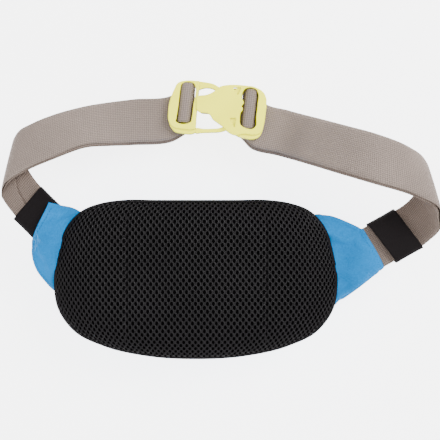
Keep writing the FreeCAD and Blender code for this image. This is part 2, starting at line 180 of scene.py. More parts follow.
def grid_faces(rows, cols, wrap=False, start=0):
    """Quads between rows of points."""
    faces = []
    for r in range(rows - 1):
        for c in range(cols if wrap else cols - 1):
            d = (c + 1) % cols
            faces.append((start + r * cols + c, start + r * cols + d,
                          start + (r + 1) * cols + d, start + (r + 1) * cols + c))
    return faces


def apply_modifiers(obj):
    deps = bpy.context.evaluated_depsgraph_get()
    deps.update()
    mesh = bpy.data.meshes.new_from_object(obj.evaluated_get(deps))
    obj.modifiers.clear()
    obj.data = mesh
    return obj


def thicken(obj, thickness, offset=0.0):
    """Gives a cloth surface its thickness, in millimetres."""
    shell = obj.modifiers.new("thickness", "SOLIDIFY")
    shell.thickness = thickness * MM
    shell.offset = offset
    return apply_modifiers(obj)


def finish_piece(obj, body, slot, *replaced):
    """Puts a piece on its body and hides the nodes that it stands for; the slot is not used."""
    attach(obj, body)
    if replaced:
        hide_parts(*replaced)
    return obj


def swept(name, path, profile, material, closed=False):
    """A tube: the profile's first axis points outwards in the XY plane, its second is up."""
    path = np.array(path, float)
    ahead = np.roll(path, -1, axis=0) - np.roll(path, 1, axis=0)
    if not closed:
        ahead[0] = path[1] - path[0]
        ahead[-1] = path[-1] - path[-2]
    ahead /= np.linalg.norm(ahead, axis=1)[:, None]
    verts = []
    for p, a in zip(path, ahead):
        out = np.array([-a[1], a[0], 0.0])
        out /= np.linalg.norm(out) + 1e-12
        up = np.cross(out, a)
        up *= 1 if up[2] >= 0 else -1
        verts += [p + out * u + up * w for u, w in profile]
    n = len(profile)
    faces = grid_faces(len(path), n, wrap=True)
    if closed:
        last = (len(path) - 1) * n
        faces += [(last + c, last + (c + 1) % n, (c + 1) % n, c) for c in range(n)]
    else:
        faces += [tuple(range(n)), tuple(range((len(path) - 1) * n, len(path) * n))]
    return make_mesh(name, verts, faces, material)


def oval(half_w, half_h, count=12, power=2.0):
    """A closed oval; a higher power makes it squarer."""
    loop = []
    for i in range(count):
        a = 2 * math.pi * i / count
        c, s = math.cos(a), math.sin(a)
        loop.append((half_w * math.copysign(abs(c) ** (2 / power), c),
                     half_h * math.copysign(abs(s) ** (2 / power), s)))
    return loop


def stitches(name, path, normals, material, length=2.2, pitch=3.4, width=0.55, rise=0.25):
    """Short raised threads along a line of points."""
    path = np.array(path, float)
    run = np.r_[0, np.cumsum(np.linalg.norm(np.diff(path, axis=0), axis=1))]
    verts, faces = [], []
    s = pitch / 2
    while s + length / 2 < run[-1]:
        ends = []
        for q in (s - length / 2, s - length / 4, s + length / 4, s + length / 2):
            ends.append(np.array([np.interp(q, run, path[:, k]) for k in range(3)]))
        n = np.array([np.interp(s, run, normals[:, k]) for k in range(3)])
        n /= np.linalg.norm(n)
        along = ends[3] - ends[0]
        across = np.cross(n, along)
        across /= np.linalg.norm(across) + 1e-12
        base = len(verts)
        for e, lift, w in zip(ends, (-0.1, rise, rise, -0.1), (0.3, 1, 1, 0.3)):
            half = width / 2 * w
            verts += [e + n * (lift - 0.3) - across * half, e + n * lift - across * half * 0.5,
                      e + n * lift + across * half * 0.5, e + n * (lift - 0.3) + across * half]
        faces += grid_faces(4, 4, wrap=True, start=base)
        faces += [(base, base + 1, base + 2, base + 3), (base + 12, base + 13, base + 14, base + 15)]
        s += pitch
    return make_mesh(name, verts, faces, material)


def level_normals(count):
    """Normals that all point up."""
    return np.tile([0.0, 0.0, 1.0], (count, 1))


# ---------------------------------------------------------------- cloth that settles


def settle(obj, pinned, pressure, growth, limit):
    """Lets a cloth form slacken and wrinkle for a few frames; no point moves farther than the limit."""
    group = obj.vertex_groups.new(name="pinned")
    for index, weight in enumerate(pinned):
        if weight > 0:
            group.add([index], float(weight), "REPLACE")
    before = [v.co.copy() for v in obj.data.vertices]
    cloth = obj.modifiers.new("cloth", "CLOTH")
    cloth.settings.quality = 5
    cloth.settings.mass = 0.1
    cloth.settings.tension_stiffness = 30
    cloth.settings.compression_stiffness = 30
    cloth.settings.bending_stiffness = 0.05
    cloth.settings.vertex_group_mass = "pinned"
    cloth.settings.shrink_min = -growth
    cloth.settings.shrink_max = -growth
    cloth.settings.use_pressure = pressure != 0
    cloth.settings.uniform_pressure_force = pressure
    cloth.settings.effector_weights.gravity = 0
    cloth.collision_settings.use_collision = False
    cloth.point_cache.frame_start = 1
    cloth.point_cache.frame_end = 20
    scene = bpy.context.scene
    for step in range(1, 21):
        scene.frame_set(step)
    deps = bpy.context.evaluated_depsgraph_get()
    after = [v.co.copy() for v in obj.evaluated_get(deps).data.vertices]
    obj.modifiers.clear()
    obj.vertex_groups.clear()
    scene.frame_set(1)
    for vertex, old, new in zip(obj.data.vertices, before, after):
        move = new - old
        if move.length > limit * MM:
            move *= limit * MM / move.length
        vertex.co = old + move
    return obj


# ---------------------------------------------------------------- materials


class Look:
    """A small helper that builds one Principled material."""

    def __init__(self, name, color, roughness, **sockets):
        self.material = bpy.data.materials.new(name)
        self.material.use_nodes = True
        self.tree = self.material.node_tree
        self.shader = self.tree.nodes["Principled BSDF"]
        self.color = (*color, 1)
        self.shader.inputs["Base Color"].default_value = self.color
        self.shader.inputs["Roughness"].default_value = roughness
        for key, value in sockets.items():
            self.shader.inputs[key.replace("_", " ")].default_value = value

    def node(self, kind, sources=(), **settings):
        made = self.tree.nodes.new(kind)
        for key, value in settings.items():
            if key in made.inputs:
                made.inputs[key].default_value = value
            else:
                setattr(made, key, value)
        for index, source in sources:
            if isinstance(source, (int, float)):
                made.inputs[index].default_value = source
            else:
                self.tree.links.new(source, made.inputs[index])
        return made

    def math(self, operation, a, b=0.0):
        return self.node("ShaderNodeMath", [(0, a), (1, b)], operation=operation).outputs[0]

    def coords(self, kind="Object"):
        return self.node("ShaderNodeTexCoord").outputs[kind]

    def noise(self, scale, detail=4.0, kind="Object", rough=0.5):
        return self.node("ShaderNodeTexNoise", [("Vector", self.coords(kind))], Scale=scale, Detail=detail,
                         Roughness=rough).outputs["Fac"]

    def tint(self, factor, low, high):
        ramp = self.node("ShaderNodeValToRGB", [(0, factor)])
        ramp.color_ramp.elements[0].color = (*low, 1)
        ramp.color_ramp.elements[1].color = (*high, 1)
        return ramp

    def color_from(self, socket):
        self.tree.links.new(socket, self.shader.inputs["Base Color"])

    def bump(self, height, distance, strength=1.0):
        made = self.node("ShaderNodeBump", [("Height", height)], Strength=strength, Distance=distance)
        self.tree.links.new(made.outputs[0], self.shader.inputs["Normal"])
        return made


def scaled(color, k):
    return tuple(min(1.0, c * k) for c in color)


def woven_look(name, color, pitch_u, pitch_v, depth, contrast, roughness=0.8, **sockets):
    """Plain weave over a UV map in millimetres: u along the strap, v across it."""
    look = Look(name, color, roughness, **sockets)
    uv = look.node("ShaderNodeUVMap", uv_map="weave").outputs[0]
    parts = look.node("ShaderNodeSeparateXYZ", [(0, uv)])
    along = look.math("SINE", look.math("MULTIPLY", parts.outputs[0], 2 * math.pi / pitch_u))
    across = look.math("SINE", look.math("MULTIPLY", parts.outputs[1], 2 * math.pi / pitch_v))
    cross = look.math("MULTIPLY", along, across)
    ribs = look.math("ADD", look.math("ABSOLUTE", along), look.math("ABSOLUTE", across))
    height = look.math("ADD", look.math("MULTIPLY", cross, 0.06), look.math("MULTIPLY", ribs, 0.45))
    fuzz = look.noise(900, 3.0)
    patch = look.noise(22, 3.0)
    mixed = look.math("ADD", look.math("MULTIPLY", height, 0.55), look.math("MULTIPLY", fuzz, 0.2))
    mixed = look.math("ADD", mixed, look.math("MULTIPLY", patch, 0.3))
    ramp = look.tint(mixed, scaled(color, 1 - contrast), scaled(color, 1 + contrast * 0.55))
    ramp.color_ramp.elements[0].position = 0.25
    ramp.color_ramp.elements[1].position = 0.8
    look.color_from(ramp.outputs[0])
    look.bump(look.math("ADD", height, look.math("MULTIPLY", fuzz, 0.3)), depth)
    return look.material


def cloth_look(name, color, pitch, depth, contrast, roughness, **sockets):
    """Fine plain weave in object space, with slow colour drift."""
    look = Look(name, color, roughness, **sockets)
    parts = look.node("ShaderNodeSeparateXYZ", [(0, look.coords())])
    waves = [look.math("SINE", look.math("MULTIPLY", parts.outputs[k], 2 * math.pi / (pitch * MM)))
             for k in range(3)]
    weave = look.math("ADD", look.math("MULTIPLY", waves[0], waves[1]), look.math("MULTIPLY", waves[2], 0.6))
    drift = look.noise(20, 4.0)
    fuzz = look.noise(700, 2.0)
    mixed = look.math("ADD", look.math("MULTIPLY", weave, 0.035), look.math("MULTIPLY", drift, 0.8))
    mixed = look.math("ADD", mixed, look.math("MULTIPLY", fuzz, 0.3))
    ramp = look.tint(mixed, scaled(color, 1 - contrast), scaled(color, 1 + contrast))
    ramp.color_ramp.elements[0].position = 0.25
    ramp.color_ramp.elements[1].position = 0.75
    look.color_from(ramp.outputs[0])
    height = look.math("ADD", look.math("MULTIPLY", weave, 0.12), look.math("MULTIPLY", fuzz, 0.5))
    look.bump(height, depth)
    return look.material


def plastic_look(name, color, roughness, grain, depth, **sockets):
    """Plain plastic or thread with a fine grain."""
    look = Look(name, color, roughness, **sockets)
    fine = look.noise(grain, 3.0)
    drift = look.noise(40, 3.0)
    ramp = look.tint(drift, scaled(color, 0.93), scaled(color, 1.03))
    ramp.color_ramp.elements[0].position = 0.35
    ramp.color_ramp.elements[1].position = 0.65
    look.color_from(ramp.outputs[0])
    rough = look.node("ShaderNodeMapRange", [(0, fine)])
    rough.inputs["To Min"].default_value = roughness * 0.8
    rough.inputs["To Max"].default_value = roughness * 1.25
    look.tree.links.new(rough.outputs[0], look.shader.inputs["Roughness"])
    look.bump(fine, depth)
    return look.material


BLUE = (0.0, 0.16, 0.42)
webbing = woven_look("webbing", (0.255, 0.202, 0.172), 3.4, 3.2, 0.00045, 0.5, 0.8, Specular_IOR_Level=0.2)
# A darker copy of the webbing: painted shade for the inner faces of the strap's folds and for its second
# layer.
webbing_painted_shade = woven_look("webbing_painted_shade", (0.18, 0.138, 0.115), 3.4, 3.2, 0.00045, 0.6, 0.85,
                           Specular_IOR_Level=0.1)
blue_nylon = cloth_look("blue_nylon", BLUE, 0.7, 0.00006, 0.36, 0.55, Specular_IOR_Level=0.03)
blue_shell = cloth_look("blue_shell", BLUE, 0.9, 0.0001, 0.18, 0.6, Specular_IOR_Level=0.05)
mesh_thread = cloth_look("mesh_thread", (0.0048, 0.0038, 0.0045), 0.8, 0.00012, 0.35, 0.42,
                         Specular_IOR_Level=0.22)
mesh_backing = cloth_look("mesh_backing", (0.0012, 0.001, 0.0012), 1.2, 0.0001, 0.4, 0.95,
                          Specular_IOR_Level=0.05)
binding_tape = cloth_look("binding_tape", (0.004, 0.0035, 0.004), 1.0, 0.00015, 0.3, 0.8,
                          Specular_IOR_Level=0.15)
elastic = woven_look("elastic", (0.005, 0.0032, 0.0036), 1.3, 2.6, 0.0002, 0.4, 0.8,
                     Specular_IOR_Level=0.15)
lining = cloth_look("lining", (0.03, 0.03, 0.034), 0.8, 0.00006, 0.2, 0.7)
# The lime plastic's emission is a painted glow that brightens the buckle; the plastic gives no light of its
# own.
lime = plastic_look("lime_plastic", (0.98, 0.95, 0.035), 0.5, 1200, 0.00003, Specular_IOR_Level=0.12,
                    Subsurface_Weight=0.06, Subsurface_Scale=0.001, Emission_Strength=0.8,
                    Emission_Color=(1.0, 0.96, 0.02, 1))
# A darker copy of the lime plastic: painted shade for the buckle's side walls and recessed parts.
lime_painted_shade = plastic_look("lime_plastic_painted_shade", (0.5, 0.46, 0.012), 0.5, 1200, 0.00003,
                         Specular_IOR_Level=0.2)
zip_metal = plastic_look("zip_metal", (0.05, 0.05, 0.055), 0.35, 900, 0.00003, Metallic=0.9)
zip_coil = plastic_look("zip_coil", (0.012, 0.012, 0.013), 0.4, 900, 0.00004)
zip_tape = cloth_look("zip_tape", (0.012, 0.012, 0.013), 0.9, 0.00012, 0.3, 0.8)
thread_black = plastic_look("thread_black", (0.009, 0.008, 0.009), 0.8, 1500, 0.00005,
                            Specular_IOR_Level=0.1)
thread_blue = plastic_look("thread_blue", scaled(BLUE, 0.7), 0.8, 1500, 0.00005, Specular_IOR_Level=0.1)
channel_thread = plastic_look("channel_thread", (0.022, 0.019, 0.021), 0.7, 1500, 0.00005,
                              Specular_IOR_Level=0.2)

# ---------------------------------------------------------------- back pad and its spacer mesh

EDGE_LINE = outline(PANEL[0] - 0.9, PANEL[1] - 0.9, 400)


def edge_distance(xy):
    """Distance in from the panel's edge line, and 0 outside it."""
    gaps = np.linalg.norm(xy[:, None, :] - EDGE_LINE[None, :, :], axis=2).min(axis=1)
    return np.where(edge_ratio(xy) <= 1.0, gaps, 0.0)


def edge_ratio(xy):
    """0 at the panel's centre and 1 on its edge line."""
    line_angle = np.arctan2(EDGE_LINE[:, 1], EDGE_LINE[:, 0])
    order = np.argsort(line_angle)
    reach = np.linalg.norm(EDGE_LINE, axis=1)
    angle = np.arctan2(xy[:, 1], xy[:, 0])
    far = np.interp(angle, line_angle[order], reach[order], period=2 * math.pi)
    return np.linalg.norm(xy, axis=1) / far


def pad_height(xy):
    """Height of the crowned pad, with its two sewn channels."""
    d = edge_distance(xy)
    groove = np.exp(-((np.abs(xy[:, 0]) - GROOVE_X) / 2.4) ** 2) * np.clip((d - 8) / 10, 0, 1)
    waves = 0.25 * np.sin(xy[:, 0] / 17.0 + xy[:, 1] / 29.0)
    return PAD_RIM_Z + CROWN * (1 - np.exp(-d / 9.0)) - GROOVE_DEPTH * groove + waves * np.clip(d / 20, 0, 1)


def squeeze(xy):
    """Draws the mesh together towards the panel's edge, where it turns down."""
    r = edge_ratio(xy)
    x = np.clip((r - 0.68) / 0.4, 0, 1)
    new = np.where(r > 0.68, 0.68 + 0.4 * x * (1 - 0.21 * x), r)
    return xy * (new / np.maximum(r, 1e-9))[:, None]


def build_spacer_mesh():
    """One thread ring round each hole of a diamond lattice."""
    a, b = HOLE_PITCH_X / 2, HOLE_PITCH_Y / 2
    corners = [(a, 0), (a / 2, b / 2), (0, b), (-a / 2, b / 2), (-a, 0), (-a / 2, -b / 2), (0, -b),
               (a / 2, -b / 2)]
    rings = []
    for scale_x, scale_y, lift, square in ((0, 0, 0.0, True), (1.75, 2.45, 0.35, False),
                                           (1.3, 2.0, -0.05, False), (1.22, 1.88, -0.8, False)):
        ring = []
        for k, (cx, cy) in enumerate(corners):
            if square:
                ring.append((cx, cy, lift))
            else:
                angle = math.radians(45 * k)
                ring.append((scale_x * math.cos(angle), scale_y * math.sin(angle), lift))
        rings.append(ring)
    nx = int(PANEL[0] * 1.1 / HOLE_PITCH_X)
    ny = int(PANEL[1] * 1.1 / b)
    flat, lifts, faces = [], [], []
    for j in range(-ny, ny + 1):
        for i in range(-nx, nx + 1):
            centre = np.array([(i + (j % 2) / 2) * HOLE_PITCH_X, j * b])
            if edge_ratio(centre[None, :])[0] > 1.065:
                continue
            start = len(flat)
            for ring in rings:
                for x, y, lift in ring:
                    flat.append((centre[0] + x, centre[1] + y))
                    lifts.append(lift)
            for r in range(3):
                for k in range(8):
                    m = (k + 1) % 8
                    faces.append((start + r * 8 + k, start + r * 8 + m, start + (r + 1) * 8 + m,
                                  start + (r + 1) * 8 + k))
    placed = squeeze(np.array(flat))
    z = pad_height(placed) + np.array(lifts)
    verts = np.column_stack([placed, z])
    return make_mesh("spacer_mesh", verts, [f[::-1] for f in faces], mesh_thread)


def ring_patch(name, ratios, lift, material):
    """A band of the pad's surface between two fractions of its outline."""
    count = 240
    line = outline(PANEL[0] - 0.9, PANEL[1] - 0.9, count)
    rows = []
    for ratio in ratios:
        xy = line * ratio
        rows.append(np.column_stack([xy, pad_height(xy) + lift]))
    return make_mesh(name, np.vstack(rows), grid_faces(len(ratios), count, wrap=True), material)


spacer = build_spacer_mesh()
finish_piece(spacer, ROOT, "spacer_mesh", "back_mesh_face")
rim = ring_patch("spacer_mesh_hem", (1.004, 0.998, 0.991, 0.984), 0.1, binding_tape)
finish_piece(rim, ROOT, "spacer_mesh")


def build_pad_core():
    """The foam under the mesh: a closed crowned form with two sewn channels."""
    count = 200
    ratios = [0.985, 0.975, 0.95, 0.9, 0.84, 0.76, 0.66, 0.55, 0.43, 0.3, 0.16]
    line = outline(PANEL[0] - 0.9, PANEL[1] - 0.9, count)
    rows = [np.column_stack([line * 0.955, np.full(count, PAD_BASE_Z)])]
    for ratio in ratios:
        xy = line * ratio
        rows.append(np.column_stack([xy, np.maximum(pad_height(xy) - 1.25, 54.2)]))
    verts = np.vstack(rows + [[[0, 0, 61.6]], [[0, 0, PAD_BASE_Z]]])
    faces = grid_faces(len(rows), count, wrap=True)
    top, bottom = len(verts) - 2, len(verts) - 1
    last = (len(rows) - 1) * count
    for c in range(count):
        d = (c + 1) % count
        faces.append((last + c, last + d, top))
        faces.append((d, c, bottom))
    return make_mesh("pad_foam", verts, faces, mesh_backing)


core = build_pad_core()
finish_piece(core, ROOT, "foam", "foam_left", "foam_centre", "foam_right")

for tag, x in (("left", -GROOVE_X), ("right", GROOVE_X)):
    ys = np.linspace(-53, 55, 90)
    xy = np.column_stack([np.full(90, x), ys])
    points = np.column_stack([xy, pad_height(xy) + 0.55])
    seam = stitches("channel_stitch_" + tag, points, level_normals(90), channel_thread, length=3.0, pitch=3.6)
    finish_piece(seam, ROOT, "binding")

# ---------------------------------------------------------------- binding, pouch walls, front

edge = outline(PANEL[0] - 1.9, PANEL[1] - 1.9, 260)
path = np.column_stack([edge, np.full(len(edge), 54.0)])
binding = swept("edge_binding_tape", path, oval(2.0, 2.2, 14, 2.6), binding_tape, closed=True)
finish_piece(binding, ROOT, "binding", "edge_binding")

front_edge = outline(POUCH[0] + 1.1, POUCH[1] + 1.1, 220)
path = np.column_stack([front_edge, np.full(len(front_edge), FRONT_Z + 1.6)])
piping = swept("front_piping_cord", path, oval(1.5, 1.6, 10), binding_tape, closed=True)
finish_piece(piping, ROOT, "binding", "front_piping")


def build_walls():
    """The gusset round the pouch, open at the main zip's slot."""
    count = 300
    line = outline(*POUCH, count)
    ahead = np.roll(line, -1, axis=0) - np.roll(line, 1, axis=0)
    ahead /= np.linalg.norm(ahead, axis=1)[:, None]
    out = np.column_stack([-ahead[:, 1], ahead[:, 0]])
    if (out * line).sum() < 0:
        out = -out
    low, high = MAIN_ZIP_Z - ZIP_SLOT / 2, MAIN_ZIP_Z + ZIP_SLOT / 2
    levels = np.unique(np.r_[np.linspace(WALL_LOW, low, 8), np.linspace(low, high, 4),
                             np.linspace(high, WALL_HIGH, 8)])
    verts = []
    for z in levels:
        t = (z - WALL_LOW) / (WALL_HIGH - WALL_LOW)
        for i in range(count):
            x, y = line[i]
            calm = np.clip((y - 30) / 25, 0, 1)
            belly = 1.1 * math.sin(math.pi * t) ** 0.8 * (1 - calm)
            crease = noise.noise(Vector((x / 26, y / 26, z / 15))) * 0.8 * math.sin(math.pi * t)
            push = belly + crease * (1 - calm)
            verts.append((x + out[i, 0] * push, y + out[i, 1] * push, z))
    faces = []
    for face in grid_faces(len(levels), count, wrap=True):
        centre = np.mean([verts[k] for k in face], axis=0)
        in_slot = abs(centre[0]) < ZIP_HALF + 1 and centre[1] > 0 and low < centre[2] < high
        if not in_slot:
            faces.append(face)
    walls = make_mesh("pouch_gusset", verts, faces, blue_shell)
    held = []
    for x, y, z in verts:
        near_edge = min(z - WALL_LOW, WALL_HIGH - z) < 1.5
        near_zip = abs(x) < ZIP_HALF + 6 and y > 0 and low - 6 < z < high + 6
        held.append(1.0 if near_edge or near_zip else 0.02)
    settle(walls, held, 0.0, 0.03, 1.5)
    return thicken(walls, 1.2, -1)


walls = build_walls()
finish_piece(walls, ROOT, "shell_fabric", "top_gusset", "lower_gusset")


def flat_panel(name, rings, z_of, material, hole=None):
    """A cloth panel made of shrinking outlines, with a rectangular hole left out."""
    count = len(rings[0])
    verts = [(x, y, z_of(k, x, y)) for k, ring in enumerate(rings) for x, y in ring]
    faces = grid_faces(len(rings), count, wrap=True)
    start = len(verts)
    centre = np.mean(rings[-1], axis=0)
    verts.append((centre[0], centre[1], z_of(len(rings) - 1, *centre)))
    last = (len(rings) - 1) * count
    faces += [(last + c, last + (c + 1) % count, start) for c in range(count)]
    if hole:
        x0, y0, x1, y1 = hole
        kept = []
        for face in faces:
            cx, cy = np.mean([verts[k][:2] for k in face], axis=0)
            if not (x0 < cx < x1 and y0 < cy < y1):
                kept.append(face)
        faces = kept
    return make_mesh(name, verts, faces, material)


rings = [outline(POUCH[0] - 0.6 - 5.5 * k, POUCH[1] - 0.6 - 3 * k, 200) for k in range(20)]
front = flat_panel("front_cloth", rings, lambda k, x, y: FRONT_Z + 0.5, blue_shell,
                   (-ZIP_HALF - 2, POCKET_ZIP_Y - 3.5, ZIP_HALF + 2, POCKET_ZIP_Y + 3.5))
thicken(front, 1.1)
finish_piece(front, ROOT, "shell_fabric", "front_panel")

levels = [(0, 8.6), (0.6, 6.5), (1.8, 4.2), (3.6, 2.2), (5.6, 0.9), (8, 0.25), (11, 0.02), (20, 0.02),
          (32, 0.02)]
rings = [outline(POCKET[0] - inset, POCKET[1] - inset, 200, POCKET[2]) for inset, z in levels]
pocket = flat_panel("front_pocket_cloth", rings, lambda k, x, y: levels[k][1] + 0.35, blue_shell)
thicken(pocket, 0.7)
finish_piece(pocket, ROOT, "shell_fabric", "front_pocket_panel")

# ---------------------------------------------------------------- hip wings


def patch(name, seam, end, top, low, z_of, thickness, material, count=44):
    """A padded cloth patch spanned between four edge lines, in millimetres."""
    seam, end = smooth_line(seam, count), smooth_line(end, count)
    top, low = smooth_line(top, count), smooth_line(low, count)
    t = np.linspace(0, 1, count)
    verts = []
    for side in (1, -1):
        for i, s in enumerate(t):
            for j, q in enumerate(t):
                flat = ((1 - s) * seam[j] + s * end[j] + (1 - q) * top[i] + q * low[i]
                        - (1 - s) * (1 - q) * seam[0] - s * (1 - q) * end[0]
                        - (1 - s) * q * seam[-1] - s * q * end[-1])
                rim = min(q, 1 - q, 1 - s, 1.0) * 12
                half = thickness / 2 * (1 - math.exp(-rim * 1.2)) + 0.35
                verts.append((flat[0], flat[1], z_of(s, q, flat) + side * half))
    n = count * count
    upper = grid_faces(count, count)
    faces = upper + [tuple(k + n for k in f[::-1]) for f in upper]
    border = ([i * count for i in range(count)] + [(count - 1) * count + j for j in range(1, count)]
              + [i * count + count - 1 for i in range(count - 2, -1, -1)] + list(range(count - 2, 0, -1)))
    for a, b in zip(border, border[1:] + border[:1]):
        faces.append((b, a, a + n, b + n))
    obj = make_mesh(name, verts, faces, material)
    held = [1.0 if k % n // count in (0, count - 1) else 0.15 if k % count in (0, count - 1) else 0.0
            for k in range(2 * n)]
    settle(obj, held, 3.0, 0.02, 2.2)
    sub = obj.modifiers.new("smooth", "SUBSURF")
    sub.levels = 1
    sub.render_levels = 1
    return apply_modifiers(obj)


def left_wing_z(s, q, p):
    """Height of the left wing: s runs from the seam to the strap, q from the top edge down."""
    lift = 53.0 + 13.2 * s ** 0.8 - 8.6 * s * q
    belly = 2.6 * math.sin(math.pi * min(1, q * 0.95 + 0.03)) * (0.35 + 0.65 * s)
    curl = -9.0 * (max(0.0, q - 0.6) / 0.4) ** 1.6 * (1 - 0.4 * s)
    fold = 2.6 * math.exp(-((q - 0.42 - 0.2 * s) / 0.07) ** 2) * math.sin(math.pi * min(1, 0.15 + 0.85 * s))
    dip = -2.6 * math.exp(-((s - 0.22 - 0.2 * q) / 0.13) ** 2) * q * math.sin(math.pi * q)
    wave = 1.4 * noise.noise(Vector((p[0] / 9, p[1] / 20, 0.3)))
    return lift + belly + curl + fold + dip + wave


def right_wing_z(s, q, p):
    """Height of the right wing, with s and q as on the left."""
    lift = 53.0 + 4.0 * s ** 1.3
    belly = 3.0 * math.sin(math.pi * min(1, q * 0.9 + 0.06)) * (0.4 + 0.6 * math.sin(math.pi * s * 0.8))
    curl = -4.0 * (max(0.0, q - 0.8) / 0.2) ** 1.5
    fold = -2.8 * math.exp(-((q - 0.3 - 0.32 * s) / 0.1) ** 2) * (1 - s) ** 0.6
    ridge = 2.2 * math.exp(-((q - 0.62 - 0.1 * s) / 0.09) ** 2) * math.sin(math.pi * s)
    wave = 1.3 * noise.noise(Vector((p[0] / 17, p[1] / 12, 4.3)))
    return lift + belly + curl + fold + ridge + wave + 1.6 * s ** 4 * q ** 2


left_wing = patch(
    "left_hip_wing",
    [(-99, 58.5), (-110, 47.5), (-117, 26), (-120.5, 4), (-121, -16)],
    [(-124.4, 66.6), (-129, 57), (-135.2, 46), (-142.6, 33.8)],
    [(-99, 58.5), (-105, 62), (-115, 64.2), (-124.4, 66.6)],
    [(-121, -16), (-132, -3.5), (-139.5, 8), (-143, 21), (-142.6, 33.8)],
    left_wing_z, 3.2, blue_nylon)
finish_piece(left_wing, ROOT, "wing_fabric", "left_wing_face", "left_wing_lining")

right_wing = patch(
    "right_hip_wing",
    [(101, 56), (108, 42), (117.5, 22), (120.7, 0), (119.8, -24)],
    [(144.6, 43.5), (150, 34), (156.3, 23), (163, 10.5)],
    [(101, 56), (107.5, 57), (112, 56.4), (118.6, 54.9), (127, 51.8), (134.1, 48.5), (144.6, 43.5)],
    [(119.8, -24), (131, -15.6), (145, -5), (156, 4), (163, 10.5)],
    right_wing_z, 3.2, blue_nylon)
finish_piece(right_wing, ROOT, "wing_fabric", "right_wing_face", "right_wing_lining")

# ---------------------------------------------------------------- webbing


def ribbon(name, rails, thickness, offset, shift, material, rows=150, cols=13, flip=1, cup=0.35,
           wander=0.25, cut=(0, 0)):
    """Webbing between two edge rails; offset is along the normal towards the fold's inner side."""
    first = np.array([r[0] for r in rails], float)
    second = np.array([r[1] for r in rails], float)
    both = smooth_line(np.hstack([first, second]), rows)
    e1, e2 = both[:, :3], both[:, 3:]
    centre = (e1 + e2) / 2
    across = e2 - e1
    width = np.linalg.norm(across, axis=1)
    across /= width[:, None]
    ahead = np.gradient(centre, axis=0)
    normal = np.cross(across, ahead) * flip
    normal /= np.linalg.norm(normal, axis=1)[:, None]
    run = np.r_[0, np.cumsum(np.linalg.norm(np.diff(centre, axis=0), axis=1))]
    share = np.linspace(0, 1, rows)
    shifts = np.interp(share, np.linspace(0, 1, len(shift)), shift)
    cuts = np.interp(share, np.linspace(0, 1, len(cut)), cut)
    verts, uvs = [], []
    for i in range(rows):
        half = width[i] / 2
        drift = wander * noise.noise(Vector((run[i] / 18, 2.7, offset)))
        loop = []
        for side in (1, -1):
            order = np.linspace(-1, 1, cols) * side
            for c in order:
                v = math.copysign(abs(c) ** 0.85, c) * (half - cuts[i] / 2) + cuts[i] / 2
                edge_gap = min(half - v, v + half - cuts[i])
                rounding = math.sqrt(max(0.0, 1 - (1 - min(edge_gap, 0.8) / 0.8) ** 2))
                t = thickness / 2 * max(rounding, 0.15)
                bow = cup * (1 - (v / half) ** 2)
                loop.append(centre[i] + across[i] * (v + shifts[i])
                            + normal[i] * (offset + drift - bow + side * t))
                uvs.append((run[i], v))
        verts += loop
    n = 2 * cols
    faces = grid_faces(rows, n, wrap=True)
    faces += [tuple(range(n)), tuple(range((rows - 1) * n, rows * n))[::-1]]
    return make_mesh(name, verts, faces, material, uvs)


def buckle_point(u, v, w):
    """From the buckle's own frame to the pack's frame."""
    c, s = math.cos(BUCKLE_YAW), math.sin(BUCKLE_YAW)
    return (BUCKLE[0] + u * c - v * s, BUCKLE[1] + u * s + v * c, BUCKLE[2] + w)


def web_roll(name, side):
    """Webbing turned over its bar in one half of the buckle."""
    middle, shift = (-28.4, 3.4) if side < 0 else (28.2, 2.0)
    rails = [(middle - 4.9, -0.2), (middle - 4.9, 3), (middle - 4.8, 6)]
    for k in range(1, 8):
        angle = math.pi * (1 - k / 8)
        rails.append((middle + 4.7 * math.copysign(abs(math.cos(angle)) ** 0.9, math.cos(angle)),
                      5.6 + 4.2 * math.sin(angle) ** 0.9))
    rails += [(middle + 4.8, 6), (middle + 4.9, 3), (middle + 4.9, -0.2)]
    v0, v1 = shift - 17.4, shift + 17.4
    lines = [(buckle_point(u + v1 * 0.046, v1, w), buckle_point(u + v0 * 0.046, v0, w)) for u, w in rails]
    return ribbon(name, lines, 1.4, 0.0, [0, 0], webbing, rows=60, cols=13, flip=-1, cup=0.0, wander=0.0)


STRAP_RING = 26  # points round the webbing's section, the inner face first
TAIL_SHIFT = [0, 0, 1.4, 2.4, 2.4, 2.4, 2.4]  # sideways, so that the second layer, in the darker webbing, shows along the edge as a dark line of painted shade
LEFT_TAIL_CUT = [21, 17, 9, 3] + [0] * 9  # the tail's end is cut at a slant
BELTS = (
    ("left", LEFT_STRAP, "male_half", -1, -1, 0.246, LEFT_TAIL_CUT),
    ("right", RIGHT_STRAP, "female_half", 1, 1, 0.292, [0, 0]),
)
for side, stations, half_body, flip, sign, length, cut in BELTS:
    strap = ribbon(side + "_webbing", stations, 1.6, 0.0, [0, 0], webbing, rows=170, flip=flip)
    # The inner half of each strap's section takes the darker webbing, as painted shade inside the folds.
    strap.data.materials.append(webbing_painted_shade)
    for number, face in enumerate(strap.data.polygons):
        face.material_index = 1 if number % STRAP_RING < STRAP_RING // 2 - 1 else 0
    # The second layer is all in the darker webbing, as painted shade under the top layer.
    tail = ribbon(side + "_webbing_tail", stations[2:], 1.4, 2.1, TAIL_SHIFT, webbing_painted_shade, rows=150,
                  flip=flip, cut=cut)
    roll = web_roll(side + "_webbing_roll", sign)
    finish_piece(roll, half_body, "webbing", side + "_strap_loop")
    for piece, node in ((strap, side + "_strap"), (tail, side + "_strap_tail")):
        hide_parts(node)
        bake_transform(piece)


